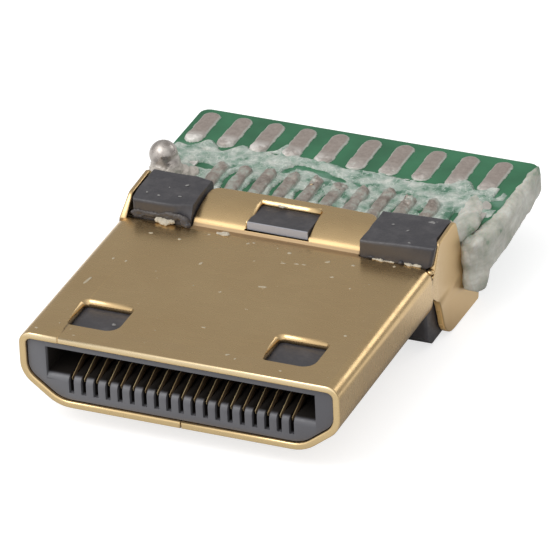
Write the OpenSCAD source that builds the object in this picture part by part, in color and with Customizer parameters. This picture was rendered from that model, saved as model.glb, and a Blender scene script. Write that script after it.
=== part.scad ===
// Miniature nineteen-way video plug, soldered to a small board that takes the cable's wires.
// X runs across the plug, Y runs back from the mating face, and Z is up.
// The origin is the middle of the mating face, level with the shell's underside.

/* [Shell] */
// Width of the shell, outside
shell_w = 10.46; // [9.9:0.02:11.2]
// Height of the shell, outside
shell_h = 2.42; // [2.3:0.02:2.7]
// Width of the shell's flat underside, outside
shell_bottom_w = 8.05; // [7.5:0.05:8.3]
// Height at which the sloping lower corners end
shell_slope_h = 0.94; // [0.84:0.02:1.1]
// Length of the closed sleeve
shell_l = 7.5; // [6.8:0.1:8.6]
// Thickness of the folded sheet
sheet_t = 0.23; // [0.2:0.01:0.26]
// Outer radius of the two upper corners
shell_top_r = 0.42; // [0.34:0.02:0.5]
// Outer radius where the slopes meet the side walls
shell_side_r = 0.85; // [0.6:0.05:0.9]
// Outer radius where the slopes meet the underside
shell_low_r = 1.2; // [0.8:0.05:1.3]
// Gap at the seam where the edges of the sheet meet underneath
seam_w = 0.03; // [0.02:0.01:0.08]

/* [Latch holes] */
// Distance between the middles of the two latch holes
latch_pitch = 6.4; // [5.8:0.1:6.8]
// Width of a latch hole
latch_w = 1.65; // [1.2:0.05:1.8]
// Length of a latch hole
latch_l = 1.5; // [1:0.02:1.8]
// Distance of a latch hole from the mating face
latch_y = 0.86; // [0.6:0.01:1.6]
// Radius of three corners of a latch hole
latch_r = 0.15; // [0.08:0.01:0.3]
// Radius of a latch hole's wide corner, at the front on the right
latch_wide_r = 0.42; // [0.2:0.02:0.5]

/* [Strap] */
// Width of the strap that runs up over the housing
strap_w = 5.6; // [4.6:0.1:6.4]
// Length of the strap behind the sleeve, at its middle
strap_l = 1.9; // [1.7:0.02:1.94]
// Distance of the strap's foot behind the sleeve
strap_foot = 0.2; // [0.14:0.02:0.26]
// Height of the small step at the foot
strap_step = 0.18; // [0.14:0.01:0.24]
// Run of that step
strap_step_l = 0.1; // [0.08:0.01:0.14]
// Height of the strap's rear above the shell's top
strap_rise = 0.5; // [0.44:0.01:0.56]
// Distance from the foot to the middle of the strap's broad bend
strap_bend_l = 0.8; // [0.76:0.02:0.9]
// Radius of the broad bend
strap_bend_r = 3.5; // [2:0.1:3.8]
// How far the strap's rear edge curves back at its middle
strap_bow = 0.08; // [0.04:0.02:0.14]
// Radius of the strap's rear corners
strap_corner_r = 0.35; // [0.2:0.05:0.5]
// Width of the window in the strap
window_w = 2.05; // [1.4:0.05:3]
// Width of the band behind the window
window_band = 0.48; // [0.36:0.02:0.6]
// Height of the housing's plug in the window above the shell's top
plug_rise = 0.35; // [0.28:0.01:0.4]

/* [Wings] */
// Height of a wing's top edge above the shell's top
wing_rise = 0.68; // [0.6:0.02:0.74]
// Distance of the wing's upper rear corner behind the sleeve
wing_top_l = 1.9; // [1.6:0.05:2.1]
// Distance of the notch above the toe behind the sleeve
wing_back_l = 2.6; // [2.3:0.05:2.75]
// Distance of the toe's end behind the sleeve
toe_l = 3.7; // [3.2:0.05:4]
// Depth of the toe below the shell's underside
toe_drop = 0.65; // [0.58:0.01:0.8]
// Height of the toe's rear end
toe_h = 0.28; // [0.2:0.02:0.4]
// Height of the notch above the shell's underside
notch_z = 0.3; // [0.1:0.05:0.5]

/* [Housing] */
// Clearance of the housing inside the sheet, and of the contacts in their channels
fit_gap = 0.02; // [0.01:0.005:0.03]
// Distance of the housing's lip behind the mating face
lip_recess = 0.12; // [0.05:0.01:0.25]
// Width of the mouth
mouth_w = 8.8; // [8.2:0.1:8.9]
// Height of the mouth's roof above the shell's underside
mouth_roof_z = 1.88; // [1.7:0.02:1.95]
// Depth of the mouth behind the mating face
mouth_depth = 4.6; // [3.8:0.1:5]
// Height of the comb's top above the shell's underside
comb_z = 1.04; // [0.92:0.02:1.1]
// Radius of the comb's upper front edge
comb_r = 0.2; // [0.1:0.02:0.25]
// Width of a slot in the comb
slot_w = 0.17; // [0.15:0.01:0.22]
// Height of the slots' floor above the shell's underside
slot_floor_z = 0.48; // [0.42:0.02:0.55]
// Width of the block behind the sleeve
block_w = 9.8; // [9.4:0.05:9.85]
// How far the block sits off the middle, to the right
block_shift = 0.07; // [-0.1:0.01:0.1]
// Length of the block behind the sleeve
block_l = 2; // [1.9:0.05:2.1]
// Height of the block above the shell's top
block_rise = 0.66; // [0.55:0.01:0.75]
// Depth of the block below the shell's underside
block_drop = 0.5; // [0.4:0.01:0.57]
// Slope at the block's lower front edge
block_chamfer = 0.38; // [0.2:0.02:0.4]
// Radius of the block's upper front edges and of its upright edges
block_r = 0.12; // [0.05:0.01:0.15]

/* [Contacts] */
// Number of contacts, an odd number
contact_count = 19; // [15:2:21]
// Distance from contact to contact
contact_pitch = 0.4; // [0.38:0.005:0.42]
// Width of a contact in its slot
contact_w = 0.1; // [0.08:0.01:0.13]
// Thickness of a contact
contact_t = 0.12; // [0.1:0.01:0.13]
// Width of a contact's tail
tail_w = 0.22; // [0.16:0.01:0.24]
// Length of a tail behind the housing
tail_l = 2.2; // [1.8:0.1:2.4]
// Height of the contact's tip below the comb's top
tip_drop = 0.1; // [0.05:0.01:0.2]
// Height of the contact's crest above the comb's top
crest_rise = 0.22; // [0.14:0.02:0.28]
// Distance of the crest behind the mating face
crest_y = 1.15; // [0.9:0.05:1.4]

/* [Board] */
// Width of the board
board_w = 11.5; // [11.2:0.1:12.4]
// Thickness of the board
board_t = 0.9; // [0.8:0.02:1]
// Height of the board's top above the shell's underside
board_z = 2; // [1.9:0.02:2.1]
// Distance of the board's rear edge from the mating face
board_y = 15.34; // [15:0.02:16.4]
// Corner radius at the board's rear
board_r = 0.32; // [0.2:0.02:0.5]
// Width of the nose that reaches forward between the wings
nose_w = 9.4; // [9:0.1:9.6]
// Gap between the board and the metal and plastic in front of it
board_gap = 0.06; // [0.04:0.01:0.12]
// Thickness of the tinned pads
pad_t = 0.05; // [0.03:0.01:0.06]
// Number of wire pads on top
wire_pads = 10; // [8:1:10]
// Distance from wire pad to wire pad
wire_pitch = 1.107; // [1.05:0.001:1.12]
// Width of a wire pad
wire_pad_w = 0.58; // [0.45:0.01:0.65]
// Length of a wire pad
wire_pad_l = 1.95; // [1.6:0.05:2.1]
// Distance of the wire pads from the board's rear edge
wire_pad_edge = 0.24; // [0.15:0.01:0.35]
// Sideways offset of the upper row of wire pads
wire_row_shift = -0.28; // [-0.3:0.01:0]
// Width of a tail pad
tail_pad_w = 0.46; // [0.4:0.01:0.5]
// Width of a ground pad
ground_pad_w = 0.8; // [0.7:0.02:0.86]
// Length of a ground pad
ground_pad_l = 2.15; // [1.9:0.05:2.2]
// Distance of a ground pad from the board's side
ground_pad_edge = 0.45; // [0.3:0.05:0.5]

/* [Solder] */
// Width of the drop of solder on a tail
tail_solder_w = 0.44; // [0.4:0.01:0.46]
// Height of that drop above the pad
tail_solder_h = 0.17; // [0.17:0.01:0.2]
// Radius of the ball on the left ground joint
ball_r = 0.43; // [0.35:0.01:0.46]
// Height of the ball's middle above the board
ball_rise = 0.8; // [0.6:0.02:0.9]
// Radius at the foot of the left ground joint
ball_foot_r = 0.46; // [0.44:0.01:0.5]
// Distance of the ball's middle from the board's side
ball_edge = 0.6; // [0.5:0.01:0.65]

/* [Hidden] */
$fn = 48;
eps = 0.5;
arc_steps = 6;
solder_fn = 20;

// Margins on the board: pads to its edges, and a tail pad beyond its tail's end
pad_edge = 0.1;
tail_pad_over = 0.35;

last_contact = contact_count - 1;
wall_in = sheet_t + fit_gap;
block_y = shell_l + fit_gap;
block_rear_y = shell_l + block_l;
strap_foot_y = shell_l + strap_foot;
window_y = [strap_foot_y + fit_gap, shell_l + strap_l - window_band];
block_room = shell_w - 2 * wall_in - 2 * abs(block_shift);
block_wide = min(block_w, block_room);
block_x = [block_shift - block_wide / 2, block_shift + block_wide / 2];
notch_y = shell_l + wing_back_l + 0.12;
board_front_y = block_rear_y + board_gap;
shoulder_y = notch_y + 2 * board_gap;
board_under = board_z - board_t;
pad_top = board_z + pad_t;
pad_under = board_under - pad_t;
tail_end_y = block_rear_y + tail_l;
tail_pad_y0 = board_front_y + pad_edge;
tail_pad_y1 = tail_end_y + tail_pad_over;
ground_y0 = shoulder_y + pad_edge;
ground_x = board_w / 2 - ground_pad_edge - ground_pad_w / 2;
wing_x = (shell_w - sheet_t) / 2;

// The sleeve's outline seen from the front, anticlockwise from the lower left
outline_pts = [
    [-shell_bottom_w / 2, 0],
    [shell_bottom_w / 2, 0],
    [shell_w / 2, shell_slope_h],
    [shell_w / 2, shell_h],
    [-shell_w / 2, shell_h],
    [-shell_w / 2, shell_slope_h]
];
outline_r = [shell_low_r, shell_low_r, shell_side_r, shell_top_r, shell_top_r, shell_side_r];

function contact_name(k) = str("contact_", k < 9 ? "0" : "", k + 1);
function contact_x(k) = (k - last_contact / 2) * contact_pitch;
function on_top(k) = k % 2 == 0;
function wire_x(k, n) = (k - (n - 1) / 2) * wire_pitch;

// Unit vector from a to b, and the same turned left
function dir(a, b) = (b - a) / norm(b - a);
function left_of(v) = [-v[1], v[0]];

// An outline moved inwards by d, for points listed anticlockwise
function inset(pts, d) = [for (i = [0:len(pts) - 1])
    let (
        n = len(pts),
        a = left_of(dir(pts[(i + n - 1) % n], pts[i])),
        b = left_of(dir(pts[i], pts[(i + 1) % n]))
    ) pts[i] + d * (a + b) / (1 + a * b)
];

// Distance from a corner to where its rounding starts
function trim(a, p, b, r) = r * tan((180 - acos(dir(p, a) * dir(p, b))) / 2);

// Points along the rounding of corner p between a and b
function corner(a, p, b, r) = r <= 0 ? [p] :
    let (
        d = trim(a, p, b, r),
        u = dir(p, a),
        v = dir(p, b),
        start = p + d * u,
        turn = cross(u, v) > 0 ? -1 : 1,
        centre = start + turn * r * left_of(-u),
        sweep = 180 - acos(u * v),
        from = start - centre
    ) [for (i = [0:arc_steps])
        let (t = turn * sweep * i / arc_steps)
        centre + [from[0] * cos(t) - from[1] * sin(t), from[0] * sin(t) + from[1] * cos(t)]
    ];

// A closed outline, and an open line, with their corners rounded
function rounded(pts, radii) = [for (i = [0:len(pts) - 1])
    let (n = len(pts))
    each corner(pts[(i + n - 1) % n], pts[i], pts[(i + 1) % n], radii[i])
];
function rounded_line(pts, radii) = [for (i = [0:len(pts) - 1])
    each (i == 0 || i == len(pts) - 1 ? [pts[i]] : corner(pts[i - 1], pts[i], pts[i + 1], radii[i]))
];

// One side of a strip whose middle line is pts, h away to the left
function strip_side(pts, h) = [for (i = [0:len(pts) - 1])
    let (
        a = left_of(dir(pts[max(i - 1, 0)], pts[max(i, 1)])),
        b = left_of(dir(pts[min(i, len(pts) - 2)], pts[min(i + 1, len(pts) - 1)]))
    ) pts[i] + h * (a + b) / (1 + a * b)
];
function reversed(pts) = [for (i = [len(pts) - 1:-1:0]) pts[i]];
function strip(pts, t) = concat(strip_side(pts, -t / 2), reversed(strip_side(pts, t / 2)));

// The 2D shape's X and Y become X and Z, swept along Y
module along_y(y0, y1) {
    translate([0, y1, 0]) rotate([90, 0, 0]) linear_extrude(y1 - y0) children();
}

// The 2D shape's X and Y become Y and Z, swept along X
module along_x(x0, x1) {
    translate([x0, 0, 0]) rotate([90, 0, 90]) linear_extrude(x1 - x0) children();
}

module box(x, y, z) {
    translate([x[0], y[0], z[0]]) cube([x[1] - x[0], y[1] - y[0], z[1] - z[0]]);
}

// The sleeve's outline moved inwards by d, with true arcs at its corners
module sleeve_outline(d) {
    pts = inset(outline_pts, d);
    n = len(pts);
    polygon([for (i = [0:n - 1])
        let (
            a = pts[(i + n - 1) % n],
            b = pts[(i + 1) % n],
            t = trim(a, pts[i], b, outline_r[i] - d)
        )
        each [pts[i] + t * dir(pts[i], a), pts[i] + t * dir(pts[i], b)]
    ]);
    for (i = [0:n - 1]) {
        a = pts[(i + n - 1) % n];
        b = pts[(i + 1) % n];
        r = outline_r[i] - d;
        start = pts[i] + trim(a, pts[i], b, r) * dir(pts[i], a);
        translate(start + r * left_of(dir(a, pts[i]))) circle(r);
    }
}

// A rectangle with round corners, about its middle
module round_rect(w, l, r) {
    square([w - 2 * r, l], center = true);
    square([w, l - 2 * r], center = true);
    for (x = [-1, 1], y = [-1, 1]) translate([x * (w / 2 - r), y * (l / 2 - r)]) circle(r);
}

// The middle line of the strap's sheet from the side, and the radii of its bends
strap_mid_z = shell_h - sheet_t / 2;
strap_line = [
    [shell_l - 0.3, strap_mid_z],
    [strap_foot_y, strap_mid_z],
    [strap_foot_y + strap_step_l, strap_mid_z + strap_step],
    [strap_foot_y + strap_bend_l, strap_mid_z + 0.9 * strap_rise],
    [shell_l + strap_l + eps, strap_mid_z + strap_rise]
];
strap_line_r = [0, sheet_t * 0.62, sheet_t * 0.62, strap_bend_r, 0];
module strap() {
    intersection() {
        along_x(-strap_w / 2, strap_w / 2) {
            polygon(strip(rounded_line(strap_line, strap_line_r), sheet_t));
        }
        translate([0, 0, shell_h - 2 * sheet_t]) linear_extrude(strap_rise + 3 * sheet_t) {
            strap_plan();
        }
    }
}

// The strap from above: straight sides, round rear corners and a slightly bowed rear edge
module strap_plan() {
    rear = shell_l + strap_l;
    bow_r = pow(strap_w, 2) / (8 * strap_bow);
    pts = [
        [-strap_w / 2, shell_l - 1],
        [strap_w / 2, shell_l - 1],
        [strap_w / 2, rear - strap_bow],
        [0, rear],
        [-strap_w / 2, rear - strap_bow]
    ];
    polygon(rounded(pts, [0, 0, strap_corner_r, bow_r, strap_corner_r]));
}

// A wing from the side, as a flat sheet that carries on the shell's side wall.
// Its seat overlaps that wall between the tangent points of the upper and lower corners.
wing_seat = 0.4;
seat_low_z = shell_slope_h + trim(outline_pts[1], outline_pts[2], outline_pts[3], shell_side_r) + 0.02;
seat_top_z = shell_h - shell_top_r - 0.02;
wing_top_z = shell_h + wing_rise;
wing_pts = [
    [shell_l - wing_seat, seat_low_z],
    [shell_l, seat_low_z],
    [shell_l + 0.97, 0.07 - toe_drop],
    [shell_l + toe_l, -toe_drop],
    [shell_l + toe_l + 0.04, toe_h - toe_drop],
    [notch_y, notch_z],
    [notch_y - 0.16, shell_h / 2 + 0.2],
    [shell_l + wing_top_l, wing_top_z],
    [shell_l + 0.4, wing_top_z - 0.08],
    [shell_l + 0.04, shell_h - 0.02],
    [shell_l, seat_top_z],
    [shell_l - wing_seat, seat_top_z]
];
wing_r = [0, 0, 1.1, 0.1, 0.1, 0.12, 1, 0.25, 0.3, 0.1, 0, 0];
module wing(side) {
    x0 = side < 0 ? -shell_w / 2 : shell_w / 2 - sheet_t;
    along_x(x0, x0 + sheet_t) polygon(rounded(wing_pts, wing_r));
}

// A latch hole from above, about the middle of its front edge
latch_pts = [[-latch_w / 2, 0], [latch_w / 2, 0], [latch_w / 2, latch_l], [-latch_w / 2, latch_l]];
latch_radii = [latch_r, latch_wide_r, latch_r, latch_r];

// The folded sheet: sleeve, strap and wings, with its holes, window and seam
module shell() {
    color("goldenrod") difference() {
        union() {
            difference() {
                along_y(0, shell_l) sleeve_outline(0);
                along_y(-eps, shell_l + eps) sleeve_outline(sheet_t);
            }
            strap();
            wing(-1);
            wing(1);
        }
        for (x = [-1, 1]) {
            translate([x * latch_pitch / 2, latch_y, shell_h / 2]) linear_extrude(shell_h) {
                polygon(rounded(latch_pts, latch_radii));
            }
        }
        box(
            [-window_w / 2, window_w / 2],
            window_y,
            [mouth_roof_z, 2 * shell_h]
        );
        box([-seam_w / 2, seam_w / 2], [-eps, shell_l + eps], [-eps, sheet_t + eps / 2]);
    }
}

// The mouth from the side, over the comb's rounded front edge
module mouth_profile() {
    polygon(concat(
        [[-eps, comb_z - comb_r], [lip_recess, comb_z - comb_r]],
        [for (i = [1:arc_steps])
            let (t = 180 - 90 * i / arc_steps)
            [lip_recess + comb_r + comb_r * cos(t), comb_z - comb_r + comb_r * sin(t)]
        ],
        [[mouth_depth, comb_z], [mouth_depth, mouth_roof_z], [-eps, mouth_roof_z]]
    ));
}

// The block's side profile, at its full height
module block_profile() {
    top = shell_h + block_rise;
    pts = [
        [block_y, block_chamfer - block_drop],
        [block_y + block_chamfer, -block_drop],
        [block_rear_y, -block_drop],
        [block_rear_y, top],
        [block_y, top]
    ];
    polygon(rounded(pts, [0.1, 0.2, block_r, block_r, block_r]));
}

// The block with its upright edges rounded
module block() {
    intersection() {
        along_x(block_x[0], block_x[1]) block_profile();
        translate([block_shift, (block_y + block_rear_y) / 2, -block_drop - eps]) {
            linear_extrude(block_drop + shell_h + block_rise + 2 * eps) {
                round_rect(block_wide, block_rear_y - block_y, block_r);
            }
        }
    }
}

// What is cut off the block's middle so that the strap passes over it
module under_strap_profile() {
    under = strip_side(rounded_line(strap_line, strap_line_r), -sheet_t / 2 - fit_gap);
    last = len(under) - 1;
    rear_y = max(block_rear_y, under[last][0]) + eps;
    over_z = shell_h + block_rise + eps;
    polygon(concat(
        [[shell_l - eps, over_z], [shell_l - eps, under[0][1]]],
        [for (i = [1:last]) under[i]],
        [[rear_y, under[last][1]], [rear_y, over_z]]
    ));
}

// The black moulding: mouth and comb in front, channels inside, block behind
module housing() {
    color("dimgray") difference() {
        union() {
            along_y(lip_recess, block_y + eps) intersection() {
                sleeve_outline(wall_in);
                translate([block_x[0], 0]) square([block_wide, shell_h]);
            }
            along_y(lip_recess, shell_l - fit_gap) sleeve_outline(wall_in);
            block();
        }
        difference() {
            along_x(-strap_w / 2 - 3 * fit_gap, strap_w / 2 + 3 * fit_gap) under_strap_profile();
            box(
                [fit_gap - window_w / 2, window_w / 2 - fit_gap],
                [window_y[0] + 3 * fit_gap, window_y[1] - fit_gap],
                [0, shell_h + plug_rise]
            );
        }
        along_x(-mouth_w / 2, mouth_w / 2) mouth_profile();
        for (k = [0:last_contact]) {
            box(
                [contact_x(k) - slot_w / 2, contact_x(k) + slot_w / 2],
                [-eps, mouth_depth],
                [slot_floor_z, comb_z + 0.1]
            );
            contact_solid(k, fit_gap / 2);
        }
    }
}

// The middle line of a contact from the side, from its tip to the end of its tail
function tail_z(k) = on_top(k) ? pad_top + contact_t / 2 : pad_under - contact_t / 2;
function contact_line(k) =
    let (rest_z = slot_floor_z + 0.05 + contact_t / 2, bend_y = shell_l - 0.3)
    rounded_line(
        [
            [lip_recess + 0.2, comb_z - tip_drop - contact_t / 2],
            [crest_y, comb_z + crest_rise - contact_t / 2],
            [mouth_depth - 0.5, rest_z],
            [bend_y, rest_z],
            [bend_y + abs(tail_z(k) - rest_z), tail_z(k)],
            [tail_end_y, tail_z(k)]
        ],
        [0, 0.3, 0.4, 0.2, 0.2, 0]
    );

// A contact grown by gap on all sides, so that the same shape makes its channel
module contact_solid(k, gap) {
    x = contact_x(k);
    along_x(x - contact_w / 2 - gap, x + contact_w / 2 + gap) {
        polygon(strip(contact_line(k), contact_t + 2 * gap));
    }
    box(
        [x - tail_w / 2 - gap, x + tail_w / 2 + gap],
        [block_rear_y - eps, tail_end_y],
        [tail_z(k) - contact_t / 2 - gap, tail_z(k) + contact_t / 2 + gap]
    );
}

module contact(k) {
    color("gold") contact_solid(k, 0);
}

// Laminate: full width behind the wings, with a nose between them
module circuit_board() {
    color("seagreen") translate([0, 0, board_under]) linear_extrude(board_t) {
        translate([-board_w / 2, shoulder_y]) square([board_w, board_y - board_r - shoulder_y]);
        translate([board_r - board_w / 2, board_y - 2 * board_r]) {
            square([board_w - 2 * board_r, 2 * board_r]);
        }
        for (x = [-1, 1]) translate([x * (board_w / 2 - board_r), board_y - board_r]) circle(board_r);
        translate([-nose_w / 2, board_front_y]) square([nose_w, shoulder_y - board_front_y + 0.1]);
    }
}

// A pad with round ends that lies on the board from z up or down
module pad(x, y0, y1, w, z) {
    translate([x, (y0 + y1) / 2, z]) linear_extrude(pad_t) round_rect(w, y1 - y0, w / 2 - 0.001);
}

module wire_pad_row(n, shift, z) {
    y1 = board_y - wire_pad_edge;
    color("silver") for (k = [0:n - 1]) pad(wire_x(k, n) + shift, y1 - wire_pad_l, y1, wire_pad_w, z);
}

module top_wire_pads() {
    wire_pad_row(wire_pads, wire_row_shift, board_z);
}

module bottom_wire_pads() {
    wire_pad_row(wire_pads - 1, 0, pad_under);
}

module tail_pads(top) {
    color("silver") for (k = [0:last_contact]) {
        if (on_top(k) == top) {
            pad(contact_x(k), tail_pad_y0, tail_pad_y1, tail_pad_w, top ? board_z : pad_under);
        }
    }
}

module top_tail_pads() {
    tail_pads(true);
}

module bottom_tail_pads() {
    tail_pads(false);
}

module ground_pads() {
    color("silver") for (x = [-1, 1], z = [board_z, pad_under]) {
        pad(x * ground_x, ground_y0, ground_y0 + ground_pad_l, ground_pad_w, z);
    }
}

// A long drop of solder on one pad, hollow where the tail lies in it.
// Its round back has its middle line inside the board.
module tail_drop(k) {
    x = contact_x(k);
    face = on_top(k) ? pad_top : pad_under;
    up = on_top(k) ? 1 : -1;
    foot = tail_solder_w / 2;
    r = (pow(foot, 2) + pow(tail_solder_h, 2)) / (2 * tail_solder_h);
    y0 = tail_pad_y0 + foot;
    y1 = tail_pad_y1 - foot;
    difference() {
        translate([x, 0, face - up * (r - tail_solder_h)]) {
            translate([0, y0, 0]) rotate([-90, 0, 0]) cylinder(h = y1 - y0, r = r);
            translate([0, y0, 0]) sphere(r);
            translate([0, y1, 0]) sphere(r);
        }
        box(
            [x - contact_pitch, x + contact_pitch],
            [y0 - contact_pitch, y1 + contact_pitch],
            up > 0 ? [face - eps, face] : [face, face + eps]
        );
        contact_solid(k, 0);
    }
}

module top_tail_solder() {
    color("lightgray") for (k = [0:2:last_contact]) tail_drop(k);
}

module bottom_tail_solder() {
    color("lightgray") for (k = [1:2:last_contact]) tail_drop(k);
}

// Balls of solder that blend into one joint: [x, y, z, radius], with x outwards from the middle.
// The skirt round the left joint's post:
skirt_balls = [
    [board_w / 2 - ball_edge, shoulder_y + 0.7, board_z, 0.44],
    [ground_x - 0.05, shoulder_y + 1.15, board_z, 0.18],
    [wing_x, notch_y - 0.3, board_z + 0.32, 0.3]
];
// The right joint's leaf, from the wing back along its pad:
leaf_balls = [
    [wing_x, notch_y - 0.4, board_z + 0.28, 0.18],
    [ground_x, shoulder_y + 0.8, board_z - 0.18, 0.47],
    [ground_x - 0.05, ground_y0 + ground_pad_l - 0.2, board_z, 0.12]
];
// The joint from the wing's rear edge and toe to the board's shoulder and the pad below it:
lower_balls = [
    [wing_x + 0.28, shoulder_y - 0.12, board_z - 0.22, 0.16],
    [board_w / 2 - 0.3, shoulder_y + 0.1, board_under - 0.4, 0.4],
    [board_w / 2 - 0.32, shoulder_y + 0.25, board_under - 0.75, 0.34],
    [ground_x, ground_y0 + 0.7, board_under - 0.12, 0.36]
];
module blend(side, balls) {
    hull() for (b = balls) translate([side * b[0], b[1], b[2]]) sphere(b[3], $fn = solder_fn);
}

// The left joint: a post of solder with a ball on top, run forward to the wing
module left_upper_solder() {
    post_x = ball_edge - board_w / 2;
    post_y = shoulder_y + ball_foot_r + board_gap;
    color("lightgray") difference() {
        union() {
            translate([post_x, post_y, pad_top]) cylinder(h = ball_rise, r1 = ball_foot_r, r2 = 0.9 * ball_r);
            translate([post_x, post_y, board_z + ball_rise]) sphere(ball_r);
            blend(-1, skirt_balls);
        }
        joint_room(-1);
        box([-board_w, 0], [0, board_y], [-board_z, board_z]);
    }
}

module right_upper_solder() {
    color("lightgray") difference() {
        blend(1, leaf_balls);
        joint_room(1);
        box([0, board_w], [0, board_y], [-board_z, board_z]);
    }
}

module lower_solder(side) {
    color("lightgray") difference() {
        blend(side, lower_balls);
        joint_room(side);
    }
}

module left_lower_solder() {
    lower_solder(-1);
}

module right_lower_solder() {
    lower_solder(1);
}

// What a ground joint leaves free: the board, its pads, the wing with the air outside it, and the nose
module joint_room(side) {
    nose_room = nose_w / 2 + board_gap / 2;
    circuit_board();
    ground_pads();
    wing_air = side < 0 ? [-board_w, sheet_t - shell_w / 2] : [shell_w / 2 - sheet_t, board_w];
    along_x(wing_air[0], wing_air[1]) polygon(rounded(wing_pts, wing_r));
    box([-nose_room, nose_room], [0, shoulder_y], [-board_z, 3 * board_z]);
}

shell();
housing();
for (k = [0:last_contact]) contact(k);
circuit_board();
top_wire_pads();
bottom_wire_pads();
top_tail_pads();
bottom_tail_pads();
ground_pads();
top_tail_solder();
bottom_tail_solder();
left_upper_solder();
right_upper_solder();
left_lower_solder();
right_lower_solder();
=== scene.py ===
"""A miniature video plug on its small board, dressed for a studio picture.

Lengths in this script are written in millimetres and turned into metres where a mesh is made.
X runs across the plug, Y back from the mating face and Z up, as in the CAD.
"""

import math
import random

import bmesh
import bpy
from mathutils import Matrix, Vector, noise

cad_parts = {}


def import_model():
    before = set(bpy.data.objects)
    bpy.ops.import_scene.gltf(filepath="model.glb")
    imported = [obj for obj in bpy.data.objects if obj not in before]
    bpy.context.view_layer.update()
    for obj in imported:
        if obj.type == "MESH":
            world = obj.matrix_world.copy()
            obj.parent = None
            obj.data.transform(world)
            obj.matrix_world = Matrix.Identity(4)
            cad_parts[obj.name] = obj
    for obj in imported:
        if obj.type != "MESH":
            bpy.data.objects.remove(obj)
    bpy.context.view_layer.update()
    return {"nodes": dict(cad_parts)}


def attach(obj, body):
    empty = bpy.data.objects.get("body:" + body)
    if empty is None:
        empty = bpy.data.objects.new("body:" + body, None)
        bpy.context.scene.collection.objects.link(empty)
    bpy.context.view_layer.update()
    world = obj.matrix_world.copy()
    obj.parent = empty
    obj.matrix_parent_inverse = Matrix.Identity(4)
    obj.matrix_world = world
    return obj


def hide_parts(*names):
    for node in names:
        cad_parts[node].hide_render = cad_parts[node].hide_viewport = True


MM = 0.001
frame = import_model()
NODES = frame["nodes"]

SHELL_TOP = 2.42
SHELL_END = 7.5
WING_X = 4.8        # just inside the wings
LATCH_X = 3.2       # the middle of each latch hole
LATCH_REAR = 2.36
BLOCK_X = 2.84      # the inner side of each upper block
BLOCK_TOP = 3.08
BOARD_TOP = 2.0
BOARD_SIDE = 5.73
SHARP = 28          # degrees between faces whose common edge is rounded


# Materials

def fill_ramp(node, stops):
    """Gives a colour ramp its stops: a place with a colour, or with a grey as one number."""
    elements = node.color_ramp.elements
    while len(elements) < len(stops):
        elements.new(0.5)
    for element, (place, colour) in zip(elements, stops):
        element.position = place
        element.color = (colour,) * 3 + (1.0,) if isinstance(colour, float) else (*colour, 1.0)


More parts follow.
